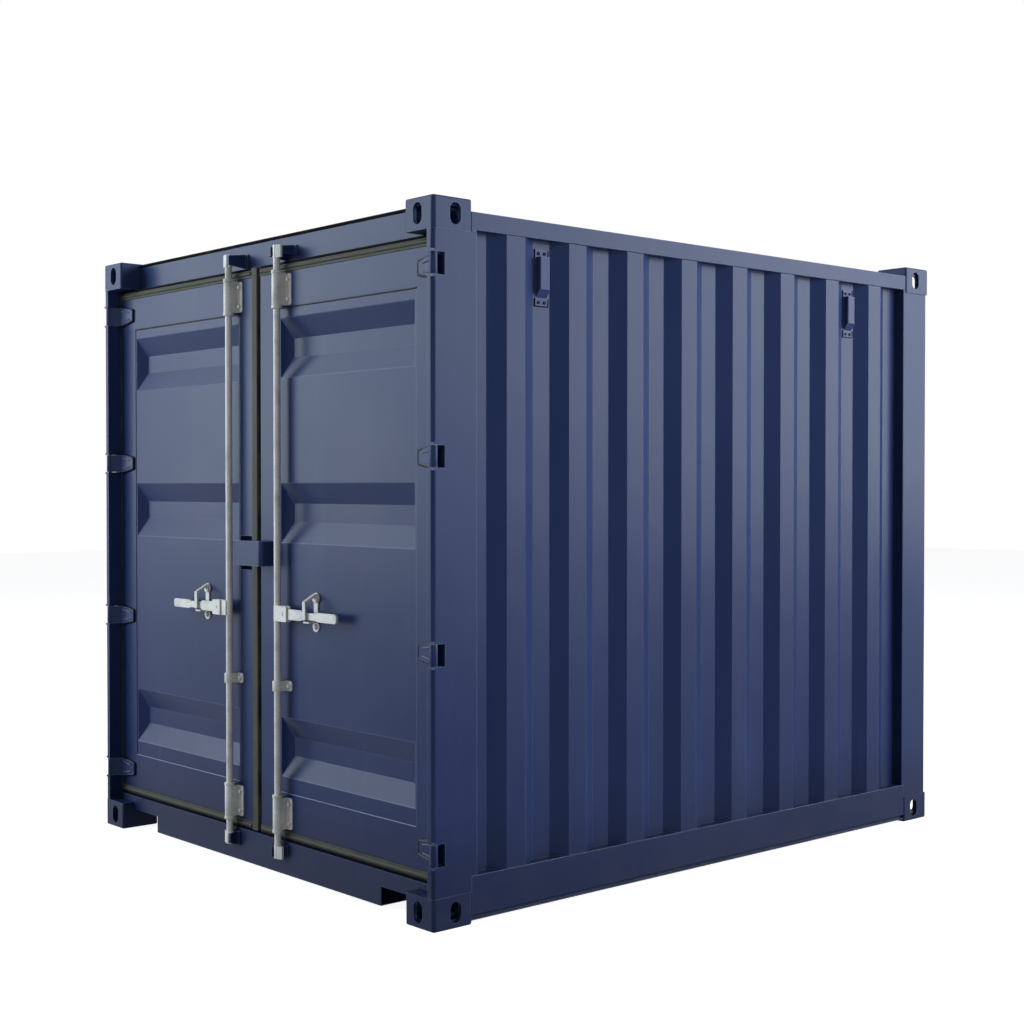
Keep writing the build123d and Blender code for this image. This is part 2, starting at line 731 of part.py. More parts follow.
# Door panels: pressed sheets with three sloping recesses
with BuildPart() as panel:
    face_offset = -leaf_face
    middle_x = (panel_inner_edge + panel_outer_edge) / 2
    width = panel_outer_edge - panel_inner_edge
    with BuildSketch(Plane.XZ.offset(face_offset)):
        with Locations((middle_x, (panel_bottom + panel_top) / 2)):
            Rectangle(width, panel_top - panel_bottom)
    extrude(amount=-panel_thickness)
    recess_width = width - 2 * recess_margin
    for grow, mode in ((panel_thickness, Mode.ADD), (0.0, Mode.SUBTRACT)):
        for height in recess_heights:
            with BuildSketch(Plane.XZ.offset(face_offset)):
                with Locations((middle_x, height)):
                    Rectangle(recess_width + 2 * grow, recess_height + 2 * grow)
            with BuildSketch(Plane.XZ.offset(face_offset - recess_depth - grow)):
                with Locations((middle_x, height)):
                    Rectangle(recess_width - 2 * recess_end_slope + 2 * grow, recess_floor_height + 2 * grow)
            loft(mode=mode)
save_pair(panel.part, "door_panel")


# Door gaskets: rubber bands round the head, foot and hinge side of each leaf
def gasket_ring(inner_edge, centre_strip):
    """Gasket of one leaf, with a strip and a set back lip down the middle seam where it carries one."""
    low, high = sill_top + gasket_end_gap, header_bottom - gasket_end_gap
    gasket_back = door_stop - gasket_back_gap
    strip_edge = gasket_strip_edge if centre_strip else inner_edge
    leaf_edge = inner_edge if centre_strip else inner_edge - cut_past
    with BuildPart() as ring:
        ring_range = (leaf_face - gasket_proud, gasket_back)
        block((strip_edge, leaf_outer_edge + gasket_side), ring_range, (low, high))
        block((leaf_edge, leaf_outer_edge), (front, 0), (leaf_bottom, leaf_top), Mode.SUBTRACT)
        front_edges = ring.edges().filter_by(Axis.X).group_by(Axis.Y)[0].sort_by(Axis.Z)
        fillet((front_edges[0], front_edges[-1]), gasket_rounding)
        if centre_strip:
            fillet(ring.edges().filter_by(Axis.Z).group_by(Axis.X)[0].sort_by(Axis.Y)[0], gasket_rounding)
            lip_range = (leaf_face + gasket_lip_set_back, gasket_back)
            block((strip_edge - gasket_lip_reach, strip_edge), lip_range, (low, high))
    return ring.part


save(gasket_ring(right_leaf_inner_edge, 0), "right_door_gasket")
save(mirror(gasket_ring(left_leaf_inner_edge, 1), about=Plane.YZ), "left_door_gasket")

# Hinge blades: a knuckle on the pin, a bent leg and a tapered blade on the leaf
with BuildPart() as blades:
    blade_end = leaf_outer_edge - blade_reach
    blade_bend = leaf_outer_edge - blade_bend_from_edge
    leg_radius = knuckle_radius - blade_leg_overlap
    for height in hinge_heights:
        with BuildSketch(Plane.XY.offset(height - knuckle_height / 2)):
            with Locations((hinge_x, hinge_y)):
                Circle(knuckle_radius)
            with BuildLine():
                Polyline((hinge_x - leg_radius, hinge_y - blade_leg_front_drop),
                         (hinge_x - blade_leg_side_step, hinge_y + leg_radius),
                         (leaf_outer_edge - blade_heel_from_edge, leaf_face), (blade_end, leaf_face),
                         (blade_end, leaf_face - blade_tip_thickness),
                         (blade_bend, leaf_face - blade_thickness), close=True)
            make_face()
            with Locations((hinge_x, hinge_y)):
                Circle(hinge_pin_radius + hinge_running_gap, mode=Mode.SUBTRACT)
        extrude(amount=knuckle_height)
        for sign in (-1, 1):
            root_z = height + sign * (knuckle_height / 2 + cut_past)
            taper_points = [(blade_end - cut_past, height + sign * blade_tip_height / 2),
                            (blade_bend, height + sign * knuckle_height / 2), (blade_bend, root_z),
                            (blade_end - cut_past, root_z)]
            taper = outline(taper_points, Plane.XZ.offset(-leaf_face - cut_past))
            extrude(taper, amount=blade_thickness + 2 * cut_past, mode=Mode.SUBTRACT)
    fillet(blades.edges().filter_by(Axis.Y).group_by(Axis.X)[0], blade_tip_rounding)
save_pair(blades.part, "hinge_blades")


# Bar bearings: a saddle over the bar with a bolted flange each side
def saddle(low, high):
    half = bar_radius + bearing_wall
    flange_half = half + bearing_flange
    with BuildSketch(Plane.XY.offset(low)) as profile:
        with Locations((bar_from_middle, bar_y)):
            Circle(half)
        with Locations((bar_from_middle, (bar_y + leaf_face) / 2)):
            Rectangle(2 * half, leaf_face - bar_y)
        with Locations((bar_from_middle, leaf_face - bearing_flange_thickness / 2)):
            Rectangle(2 * flange_half, bearing_flange_thickness)
        with Locations((bar_from_middle, bar_y)):
            Circle(bar_radius + bearing_gap, mode=Mode.SUBTRACT)
        with Locations((bar_from_middle, (bar_y + leaf_face) / 2)):
            Rectangle(2 * (bar_radius + bearing_gap), leaf_face - bar_y, mode=Mode.SUBTRACT)
    extrude(profile.sketch, amount=high - low)


with BuildPart() as bearings:
    for low, high in (bottom_bearing, guide_bearing, top_bearing):
        saddle(low, high)
    flange_ends = bearings.edges().filter_by(Axis.Y).group_by(Axis.X)
    fillet(flange_ends[0] + flange_ends[-1], bearing_flange_rounding)
save_pair(bearings.part, "bar_bearings")

# Lock bars
with BuildPart() as lock_bar:
    with BuildSketch(Plane.XY.offset(bottom_cam[1])):
        with Locations((bar_from_middle, bar_y)):
            Circle(bar_radius)
            Circle(bar_radius - bar_wall, mode=Mode.SUBTRACT)
    extrude(amount=top_cam[0] - bottom_cam[1])
save_pair(lock_bar.part, "lock_bar")

# Fittings that turn with each bar: cams, collars and the handle hub
with BuildPart() as fittings:
    nose_points = [(0, cam_nose_back), (cam_nose_reach, cam_nose_back), (cam_nose_reach, -cam_nose_tip),
                   (cam_hub_radius, -cam_nose_front), (0, -cam_nose_front)]
    for low, high in (bottom_cam, top_cam):
        with BuildSketch(Plane.XY.offset(low)):
            with Locations((bar_from_middle, bar_y)):
                Circle(cam_lobe_reach)
                with Locations((cam_lobe_reach / 2, 0)):
                    Rectangle(cam_lobe_reach, 2 * cam_lobe_reach, mode=Mode.SUBTRACT)
                beside_lobe = cam_lobe_half_width + cam_lobe_reach / 2
                with Locations((-cam_lobe_reach / 2, -beside_lobe), (-cam_lobe_reach / 2, beside_lobe)):
                    Rectangle(cam_lobe_reach, cam_lobe_reach, mode=Mode.SUBTRACT)
                Circle(cam_hub_radius)
                with BuildLine():
                    Polyline(*[(bar_from_middle + x, bar_y + y) for x, y in nose_points], close=True)
                make_face()
        extrude(amount=high - low)
    collar_feet = []
    for low, high in (bottom_bearing, top_bearing):
        collar_feet += [low - collar_gap - collar_height, high + collar_gap]
    for foot in collar_feet:
        with BuildSketch(Plane.XY.offset(foot)):
            with Locations((bar_from_middle, bar_y)):
                Circle(collar_radius)
                Circle(bar_radius + fitting_gap, mode=Mode.SUBTRACT)
        extrude(amount=collar_height)
    fork_front = handle_y - handle_thickness / 2 - fork_gap - fork_wall
    fork_back = handle_y + handle_thickness / 2 + fork_gap + fork_wall
    hub_low = handle_height - hub_height / 2
    hub_range = (hub_low, hub_low + hub_height)
    fork_end = bar_from_middle + fork_reach
    block((bar_from_middle, bar_from_middle + hub_web_reach), (fork_front + fork_wall, fork_back), hub_range)
    block((bar_from_middle, fork_end), (fork_back - fork_wall, fork_back), hub_range)
    block((bar_from_middle + fork_start, fork_end), (fork_front, fork_front + fork_wall), hub_range)
    fillet(fittings.edges().filter_by(Axis.Y).group_by(Axis.X)[-1], fork_rounding)
    with BuildSketch(Plane.XY.offset(hub_low)):
        with Locations((bar_from_middle, bar_y)):
            Circle(bar_radius + fitting_gap)
    extrude(amount=hub_height, mode=Mode.SUBTRACT)
    pin_x = bar_from_middle + handle_pin_from_bar
    with BuildSketch(Plane.XZ.offset(-(fork_front - cut_past))):
        with Locations((pin_x, handle_height)):
            Circle(handle_pin_radius + hinge_running_gap)
    extrude(amount=-(fork_back - fork_front + 2 * cut_past), mode=Mode.SUBTRACT)
save_pair(fittings.part, "bar_fittings")

# Handles: a flat bar, narrow in the hub's fork and at the catch, with a grip at its end
with BuildPart() as handle:
    neck_start = pin_x - handle_neck_behind_pin
    body_start = bar_from_middle + handle_body_start
    body_end = bar_from_middle + handle_body_end
    handle_end = bar_from_middle + handle_reach
    grip_start = handle_end - handle_grip_length
    upper_edge = [(neck_start, handle_neck_width / 2), (body_start - handle_shoulder, handle_neck_width / 2),
                  (body_start, handle_body_width / 2), (body_end, handle_body_width / 2),
                  (body_end + handle_shoulder, handle_waist_width / 2),
                  (grip_start - handle_shoulder, handle_waist_width / 2),
                  (grip_start, handle_grip_width / 2), (handle_end, handle_grip_width / 2)]
    edge = upper_edge + [(x, -rise) for x, rise in reversed(upper_edge)]
    with BuildSketch(Plane.XZ.offset(-(handle_y - handle_thickness / 2))) as flat:
        with BuildLine():
            Polyline(*[(x, handle_height + rise) for x, rise in edge], close=True)
        make_face()
        ends = flat.vertices().group_by(Axis.X)
        fillet(ends[0] + ends[-1], handle_end_rounding)
    extrude(amount=-handle_thickness)
    with BuildSketch(Plane.XZ.offset(-(fork_front - handle_pin_proud))):
        with Locations((pin_x, handle_height)):
            Circle(handle_pin_radius)
    extrude(amount=-(fork_back - fork_front + 2 * handle_pin_proud))
save_pair(handle.part, "handle")

# Handle catches: a base with two eyes and a shelf under the handle, and a bent arm that swings down over it
catch_x = bar_from_middle + catch_from_bar
catch_pivot_height = handle_height + catch_pivot_rise
catch_foot_height = handle_height - catch_base_eye_drop
plate_face = leaf_face - catch_base_thickness
arm_back = handle_y - handle_thickness / 2 - catch_arm_gap
arm_face = arm_back - catch_arm_thickness
eye_back = plate_face - fitting_gap
eye_face = eye_back - catch_arm_thickness
with BuildPart() as catch_base:
    shelf_top = handle_height - handle_waist_width / 2 - catch_shelf_drop
    shelf_end = catch_x + catch_shelf_width / 2
    with BuildSketch(Plane.XZ.offset(-leaf_face)):
        with Locations((catch_x, catch_pivot_height), (catch_x, catch_foot_height)):
            Circle(catch_base_eye_radius)
        with Locations((catch_x, (catch_pivot_height + catch_foot_height) / 2)):
            Rectangle(catch_base_waist, catch_pivot_height - catch_foot_height)
        with Locations((catch_x, catch_foot_height)):
            Circle(catch_base_hole_radius, mode=Mode.SUBTRACT)
    extrude(amount=catch_base_thickness)
    shelf_range = (shelf_top - catch_shelf_thickness, shelf_top)
    shelf_depth = (handle_y - handle_thickness / 2, plate_face)
    block((shelf_end - catch_shelf_width, shelf_end), shelf_depth, shelf_range)
    with BuildSketch(Plane.XZ.offset(-plate_face)):
        with Locations((catch_x, catch_pivot_height)):
            Circle(catch_pin_radius)
    extrude(amount=plate_face - eye_face + catch_pin_proud)
save_pair(catch_base.part, "catch_base")

with BuildPart() as catch_arm:
    arm_foot = catch_pivot_height - catch_arm_reach
    eye_top = catch_pivot_height + catch_eye_radius
    neck_root = eye_top - catch_neck_depth
    bend_points = [(eye_back, eye_top), (eye_face, eye_top),
                   (arm_face, catch_pivot_height - catch_neck_front_drop), (arm_face, arm_foot),
                   (arm_back, arm_foot), (arm_back, catch_pivot_height - catch_neck_back_drop),
                   (eye_face, neck_root), (eye_back, neck_root)]
    profile = outline(bend_points, Plane.YZ.offset(catch_x - catch_arm_width / 2))
    extrude(profile, amount=catch_arm_width)
    fillet(catch_arm.edges().filter_by(Axis.Y).group_by(Axis.Z)[0], catch_arm_end_rounding)
    with BuildSketch(Plane.XZ.offset(-eye_back)):
        with Locations((catch_x, catch_pivot_height)):
            Circle(catch_eye_radius)
            Circle(catch_pin_radius + fitting_gap, mode=Mode.SUBTRACT)
    extrude(amount=catch_arm_thickness)
save_pair(catch_arm.part, "handle_catch")

# Lock box on the right leaf, and the pocket with its staple in the left leaf
with BuildPart() as lock_box:
    inner_corner = (lock_box_right - lock_box_wall, front + lock_box_wall)
    with BuildSketch(Plane.XY.offset(lock_box_bottom)) as shell:
        with BuildLine():
            Polyline((lock_box_left, front), (lock_box_right, front), (lock_box_right, leaf_face),
                     (inner_corner[0], leaf_face), inner_corner, (lock_box_left, inner_corner[1]), close=True)
        make_face()
        fillet(shell.vertices().sort_by_distance(inner_corner)[0], lock_box_bend - lock_box_wall)
        fillet(shell.vertices().sort_by_distance((lock_box_right, front))[0], lock_box_bend)
    extrude(amount=lock_box_height)
    with BuildSketch(Plane.XY.offset(lock_box_top - lock_box_wall)) as lid:
        with Locations(((right_leaf_inner_edge + lock_box_right) / 2, (front + leaf_face) / 2)):
            Rectangle(lock_box_right - right_leaf_inner_edge, leaf_face - front)
        fillet(lid.vertices().sort_by_distance((lock_box_right, front))[0], lock_box_bend)
    extrude(amount=lock_box_wall)
save(lock_box.part, "right_lock_box")

with BuildPart() as lock_pocket:
    pocket_back = leaf_face + pocket_depth
    block((pocket_left, pocket_right), (leaf_face, pocket_back), (pocket_low, pocket_high))
    inside_x = (pocket_left + pocket_wall, pocket_right - pocket_wall)
    inside_y = (leaf_face - cut_past, pocket_back - pocket_wall)
    block(inside_x, inside_y, (pocket_low + pocket_wall, pocket_high - pocket_wall), Mode.SUBTRACT)
    staple_x = (pocket_left + pocket_right) / 2
    staple_z = (pocket_low + pocket_high) / 2
    block((staple_x - staple_thickness / 2, staple_x + staple_thickness / 2),
          (leaf_face - staple_reach, pocket_back - pocket_wall),
          (staple_z - staple_height / 2, staple_z + staple_height / 2))
    with BuildSketch(Plane.YZ.offset(staple_x - staple_thickness)):
        with Locations((leaf_face - staple_hole_from_face, staple_z)):
            Circle(staple_hole_radius)
    extrude(amount=2 * staple_thickness, mode=Mode.SUBTRACT)
save(lock_pocket.part, "left_lock_pocket")
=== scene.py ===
# %% [markdown]
# # A ten foot freight container
# The steel container stands on level ground with its two doors towards -Y and its closed end
# towards +Y. The measured model comes in as a fixed frame: every node of it is already at its
# right place and size, in metres, so this lesson only gives it its finishes and small fittings.

# %% Load the frame
import bpy
import json
import math
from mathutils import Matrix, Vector


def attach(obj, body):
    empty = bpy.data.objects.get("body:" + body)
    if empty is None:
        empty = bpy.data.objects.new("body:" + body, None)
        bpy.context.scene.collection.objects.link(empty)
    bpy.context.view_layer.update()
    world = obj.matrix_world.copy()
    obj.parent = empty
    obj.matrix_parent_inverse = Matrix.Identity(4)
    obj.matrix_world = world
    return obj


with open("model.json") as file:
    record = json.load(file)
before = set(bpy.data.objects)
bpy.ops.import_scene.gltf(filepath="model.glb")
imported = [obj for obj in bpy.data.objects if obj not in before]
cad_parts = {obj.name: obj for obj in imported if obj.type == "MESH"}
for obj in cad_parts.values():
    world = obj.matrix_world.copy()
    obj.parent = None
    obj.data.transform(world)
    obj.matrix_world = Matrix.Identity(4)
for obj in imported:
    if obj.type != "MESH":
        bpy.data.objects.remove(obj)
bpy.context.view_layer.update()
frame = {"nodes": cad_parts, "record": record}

nodes = frame["nodes"]

# %% [markdown]
# ## The camera
# The picture is taken with a normal lens from 5.6 m to the right of the middle of the container
# and 5 m in front of it, at the height of a person's eyes, so that the door end and the right
# hand side both show. The place and the turn are worked out from the corners of the container.
# A camera looks along its own -Z, so it is first stood up by a quarter turn, and then turned
# about the upright axis.

# %% Set the camera
sensor_width_mm = 36.0
picture_pixels = 1024
focal_pixels = 1591.6
camera_place = (5.5689, -4.9689, 1.5714)
camera_yaw, camera_pitch = 0.8475, -0.0163
farthest_seen = 200

camera_turn = (math.pi / 2 + camera_pitch, 0, camera_yaw)
bpy.ops.object.camera_add(location=camera_place, rotation=camera_turn)
camera = bpy.context.object
camera.data.sensor_width = sensor_width_mm
camera.data.lens = focal_pixels * sensor_width_mm / picture_pixels
camera.data.clip_end = farthest_seen
bpy.context.scene.camera = camera
print("lens in mm:", round(camera.data.lens, 2))

# %% [markdown]
# ## Colours
# A colour is written as the numbers that a screen shows, and turned into the amounts of light that
# the shaders count with.

# %% Turn screen numbers into light
def srgb(red, green, blue):
    """A colour in screen numbers from 0 to 255, as the light it stands for."""
    def linear(level):
        level = level / 255
        return level / 12.92 if level <= 0.04045 else ((level + 0.055) / 1.055) ** 2.4
    return (linear(red), linear(green), linear(blue))


print("a mid grey is", round(srgb(128, 128, 128)[0], 3), "of full light")

# %% [markdown]
# ## Sums on sockets
# A finish is a small network of nodes. Written as Python sums it reads like a recipe, so one class
# wraps a socket and turns + - and * into Math nodes. A second class holds the network of a
# material or of the world. Its method node adds any kind of node: it sets the node's own settings
# first, and then the values or links of its sockets.

# %% A class for shader sums
class Wire:
    """One output socket in a finish, which sums can be done with."""

    def __init__(self, finish, socket):
        self.finish = finish
        self.socket = socket

    def sum(self, operation, first, second):
        settings = {"operation": operation}
        return self.finish.node("ShaderNodeMath", 0, settings, {0: first, 1: second})

    def __add__(self, other):
        return self.sum("ADD", self, other)

    def __radd__(self, other):
        return self.sum("ADD", other, self)

    def __rsub__(self, other):
        return self.sum("SUBTRACT", other, self)

    def __mul__(self, other):
        return self.sum("MULTIPLY", self, other)


print("wires can be added and multiplied, and taken away from a number")

# %% A class for finishes
corner_samples, edge_samples = 6, 4


class Finish:
    """The network of a material or a world, and the few kinds of node that it is made of."""

    def __init__(self, owner):
        self.owner = owner
        self.owner.use_nodes = True
        self.tree = self.owner.node_tree
        self.tree.nodes.clear()
        self.place = self.node("ShaderNodeTexCoord", "Object", {}, {})

    def node(self, kind, output, settings, values):
        """Adds a node, sets it up, links or fills its sockets and returns one output as a Wire."""
        made = self.tree.nodes.new(kind)
        for key, value in settings.items():
            setattr(made, key, value)
        for key, value in values.items():
            if isinstance(value, Wire):
                self.tree.links.new(value.socket, made.inputs[key])
            else:
                made.inputs[key].default_value = value
        return made if output is None else Wire(self, made.outputs[output])

    def noise(self, scale, detail=3.0, roughness=0.55, place=None):
        """Soft patches; the higher the scale, the smaller they are."""
        values = {"Vector": place or self.place, "Scale": scale,
                  "Detail": detail, "Roughness": roughness}
        return self.node("ShaderNodeTexNoise", "Fac", {}, values)

    def stretched(self, factors):
        """The place on the piece, stretched along each axis."""
        values = {"Vector": self.place, "Scale": factors}
        return self.node("ShaderNodeMapping", "Vector", {}, values)

    def axis(self, name):
        return self.node("ShaderNodeSeparateXYZ", name, {}, {"Vector": self.place})

    def between(self, value, low, high, to_low=0.0, to_high=1.0):
        """Maps low..high of a value to to_low..to_high, held at both ends, with soft bends."""
        settings = {"interpolation_type": "SMOOTHSTEP", "clamp": True}
        values = {"Value": value, "From Min": low, "From Max": high,
                  "To Min": to_low, "To Max": to_high}
        return self.node("ShaderNodeMapRange", "Result", settings, values)

    def blend(self, factor, first, second):
        """A mix of two colours, each of them a Wire or three plain numbers."""
        first, second = [value if isinstance(value, Wire) else (*value, 1.0)
                         for value in (first, second)]
        values = {0: factor, 6: first, 7: second}
        return self.node("ShaderNodeMix", 2, {"data_type": "RGBA"}, values)

    def bump(self, height, distance, strength=1.0, under=None):
        """Relief from a height, on top of another relief where one is given."""
        values = {"Height": height, "Distance": distance, "Strength": strength}
        if under:
            values["Normal"] = under
        return self.node("ShaderNodeBump", "Normal", {}, values)

    def corners(self, reach):
        """1 deep in corners and joints, 0 on open faces."""
        settings = {"samples": corner_samples}
        return 1 - self.node("ShaderNodeAmbientOcclusion", "AO", settings, {"Distance": reach})

    def edges(self, reach):
        """Above 0 along bends and edges: how far a rounded normal leans from the true one."""
        settings = {"samples": edge_samples}
        rounded = self.node("ShaderNodeBevel", "Normal", settings, {"Radius": reach})
        flat = self.node("ShaderNodeNewGeometry", "Normal", {}, {})
        settings = {"operation": "DOT_PRODUCT"}
        return 1 - self.node("ShaderNodeVectorMath", "Value", settings, {0: rounded, 1: flat})

    def pale_rays(self):
        """1 for the rays that see the white studio: from the camera, or through metal or glass."""
        path = self.node("ShaderNodeLightPath", None, {}, {})
        kinds = ("Is Camera Ray", "Is Glossy Ray", "Is Transmission Ray")
        camera_ray, glossy, glass = [Wire(self, path.outputs[kind]) for kind in kinds]
        return camera_ray.sum("MAXIMUM", camera_ray, glossy.sum("MAXIMUM", glossy, glass))

    def surface(self, **sockets):
        """The one shader of the finish; sockets are named with underscores for spaces."""
        values = {name.replace("_", " "): value for name, value in sockets.items()}
        shader = self.node("ShaderNodeBsdfPrincipled", "BSDF", {}, values)
        self.node("ShaderNodeOutputMaterial", None, {}, {"Surface": shader})
        return self.owner


def new_finish(name):
    return Finish(bpy.data.materials.new(name))


# Edges are rubbed pale and painted as highlights; corners take grime and painted shade.
print("finishes can be made of noise, relief, rubbed edges, dark corners and blends")

# %% [markdown]
# ## The paint
# The container wears one coat of satin navy paint over steel. Sprayed paint is never one flat
# colour: chalky patches form where the weather reaches it and a painted sheen lightens it towards
# the top, rain dust runs down it, it has thin scuffs, its edges are rubbed pale and also carry a
# painted highlight, its corners take grime and painted shade, and near the ground it is grimy and
# darkened by painted shade.
# Each of these is a mask of its own: it is 0 up to the first of its two levels and 1 from the
# second on. The same mask can change colour and gloss together, which is what makes it look like
# one thing. The fine orange peel of the spray and the slow waves of the sheet below are relief,
# one on top of the other.

# %% Choose the colours and masks of the paint
# The weld colour is near black, so that welds and beads in it paint shade lines.
paint_colour, vent_colour, weld_and_shade_colour = srgb(21, 35, 72), srgb(30, 44, 84), srgb(4, 8, 24)
chalk_and_sheen_colour, rain_colour, scuff_colour = srgb(60, 76, 112), srgb(74, 84, 108), srgb(92, 100, 120)
# Rubbed edges show wear and a painted highlight; the panel foot strip is a painted highlight.
rubbed_and_highlit_colour, foot_highlight_colour = srgb(108, 120, 150), srgb(104, 116, 144)
# Low shade is painted shade near the ground; corners take grime and painted shade.
low_shade_colour, grime_colour, corner_grime_and_shade_colour = srgb(9, 15, 36), srgb(34, 38, 48), srgb(10, 14, 26)
# Sheen heights paint a highlight towards the top; low shade heights paint shade near the ground.
sheen_heights, low_shade_heights, grime_heights = (0.1, 2.7), (0.50, 0.05), (0.30, 0.0)
run_levels, scuff_levels, grime_levels = (0.55, 0.85), (0.70, 0.78), (0.35, 0.75)
edge_levels, corner_levels, patch_levels = (0.01, 0.08), (0.30, 0.85), (0.3, 0.8)
run_stretch, scuff_stretch = (1.0, 1.0, 0.05), (1.0, 1.0, 0.12)
edge_reach, corner_reach = 0.004, 0.03
# The top sheen is how much the painted highlight lightens the top.
top_sheen, patchy_chalk = 0.14, 0.12
smooth_paint, rough_paint = 0.30, 0.38
rougher_grime, rougher_scuffs, rougher_corners = 0.22, 0.12, 0.2
peel_height, peel_strength, section_waves, sheet_waves = 0.0002, 0.35, 0.0008, 0.004
paint_shine = 0.09
# The print shows the heights of the painted sheen and of the painted shade near the ground.
print("the paint chalks between the heights", sheen_heights, "and is damp between", low_shade_heights)

# %% Make the navy paint
def navy_paint(name, base, waves, sheen_and_chalking=1.0, edge_wear_and_highlight=0.7):
    """Satin paint in one base colour, on steel that is wavy by a height in metres."""
    paint = new_finish(name)
    height = paint.axis("Z")
    broad = paint.noise(1.3, 4.0)
    runs = paint.noise(9.0, 5.0, 0.6, paint.stretched(run_stretch))
    runs = paint.between(runs, *run_levels)
    scuffs = paint.noise(55.0, 6.0, 0.7, paint.stretched(scuff_stretch))
    scuffs = paint.between(scuffs, *scuff_levels)
    grime = paint.between(paint.noise(7.0, 5.0), *grime_levels)
    grime = paint.between(height, *grime_heights) * grime
    # Painted shade that darkens the paint towards the ground.
    low_shade = paint.between(height, *low_shade_heights)
    # Rubbed edges with a painted highlight, and grime with painted shade in the corners.
    edges = paint.between(paint.edges(edge_reach), *edge_levels)
    corners = paint.between(paint.corners(corner_reach), *corner_levels)
    # A painted sheen that lightens the paint towards the top, with chalky patches on it.
    chalk_and_sheen = paint.between(height, *sheen_heights) * top_sheen
    chalk_and_sheen = chalk_and_sheen + paint.between(broad, *patch_levels) * patchy_chalk
    tone = paint.blend(chalk_and_sheen * sheen_and_chalking, base, chalk_and_sheen_colour)
    for mask, share, tint in ((runs, 0.18, rain_colour), (scuffs, 0.15, scuff_colour),
                              (edges, edge_wear_and_highlight, rubbed_and_highlit_colour), (low_shade, 0.55, low_shade_colour),
                              (grime, 0.25, grime_colour), (corners, 0.75, corner_grime_and_shade_colour)):
        tone = paint.blend(mask * share, tone, tint)
    gloss = paint.between(broad, 0.2, 0.8, smooth_paint, rough_paint)
    gloss = gloss + grime * rougher_grime + scuffs * rougher_scuffs + corners * rougher_corners
    relief = paint.bump(paint.noise(2.2, 2.0), waves)
    relief = paint.bump(paint.noise(240.0, 2.0), peel_height, peel_strength, relief)
    return paint.surface(Base_Color=tone, Roughness=gloss, Normal=relief,
                         Specular_IOR_Level=paint_shine)


frame_paint = navy_paint("navy paint on sections", paint_colour, section_waves)
flush_paint = navy_paint("navy paint on flush sections", paint_colour, section_waves, edge_wear_and_highlight=0.0)
sheet_paint = navy_paint("navy paint on sheets", paint_colour, sheet_waves)
vent_paint = navy_paint("navy paint on vents", vent_colour, 0.0)
# Near-black paint for welds, whose dark lines are painted shade.
weld_and_shade_paint = navy_paint("near-black paint on welds and shade lines", weld_and_shade_colour, 0.0, sheen_and_chalking=0.0, edge_wear_and_highlight=0.0)
# A pale strip in this paint paints a highlight along an edge.
highlight_strip_paint = navy_paint("pale paint for a painted highlight", foot_highlight_colour, 0.0)
print("paint made for sections, flush sections, thin sheet, vents, welds and worn edges")

# %% [markdown]
# ## Zinc, rubber and plywood
# The lock gear is dipped in molten zinc, which cools as a dull grey skin with faint crystals. The
# door seals are black rubber that dust has turned olive, and near-black beads paint shadow lines
# along the seams and gaps.
# The floor is plywood, with long grain, and darker where it was walked on.

# %% Make the zinc
crystal_dark, crystal_light = srgb(172, 171, 167), srgb(206, 204, 199)
# The crevices of the zinc take grime and painted shade.
dull_zinc, zinc_grime_and_shade = srgb(142, 141, 139), srgb(70, 70, 72)
dull_levels, grime_and_shade_levels, grime_and_shade_reach = (0.45, 0.75), (0.45, 0.95), 0.008
crystal_scale, zinc_grain = 260.0, 0.0003
zinc_metal, zinc_shine = 0.06, 0.26


def zinc_steel(name):
    zinc = new_finish(name)
    crystals = {"Vector": zinc.place, "Scale": crystal_scale}
    crystals = zinc.node("ShaderNodeTexVoronoi", "Color", {}, crystals)
    flecks = zinc.node("ShaderNodeSeparateColor", 0, {}, {0: crystals})
    dull = zinc.between(zinc.noise(14.0, 4.0), *dull_levels)
    # Grime and painted shade in the crevices of the zinc.
    crevice_grime_and_shade = zinc.between(zinc.corners(grime_and_shade_reach), *grime_and_shade_levels)
    tone = zinc.blend(flecks * 0.6, crystal_dark, crystal_light)
    tone = zinc.blend(dull * 0.6, tone, dull_zinc)
    tone = zinc.blend(crevice_grime_and_shade * 0.5, tone, zinc_grime_and_shade)
    relief = zinc.bump(zinc.noise(420.0, 3.0), zinc_grain, 0.4)
    return zinc.surface(Base_Color=tone, Roughness=0.36 + flecks * 0.12 + dull * 0.20,
                        Normal=relief, Metallic=zinc_metal, Specular_IOR_Level=zinc_shine)


zinc_finish = zinc_steel("galvanised lock gear")
print("zinc made")

# %% Make the rubber and the near-black paint of the shadow beads
clean_rubber, dusty_rubber, rubber_shine = srgb(36, 38, 34), srgb(74, 74, 60), 0.15
# Near-black colours of the beads that paint shadow lines.
shadow_bead_black, dusty_shadow_bead_black, shadow_bead_shine = srgb(2, 3, 6), srgb(8, 9, 12), 0.02
dust_levels, rubber_grain = (0.35, 0.75), 0.0003


def seal_rubber(name, clean, dusty, shine):
    rubber = new_finish(name)
    dust = rubber.between(rubber.noise(11.0, 5.0), *dust_levels)
    tone = rubber.blend(dust * 0.8, clean, dusty)
    relief = rubber.bump(rubber.noise(300.0, 3.0), rubber_grain, 0.5)
    return rubber.surface(Base_Color=tone, Roughness=0.55 + dust * 0.25,
                          Normal=relief, Specular_IOR_Level=shine)


rubber_finish = seal_rubber("door seal rubber", clean_rubber, dusty_rubber, rubber_shine)
# Near-black beads in this finish paint shadow lines along seams and gaps.
shadow_bead_finish = seal_rubber("near-black beads for painted shadow", shadow_bead_black, dusty_shadow_bead_black, shadow_bead_shine)
print("rubber and sealant made")

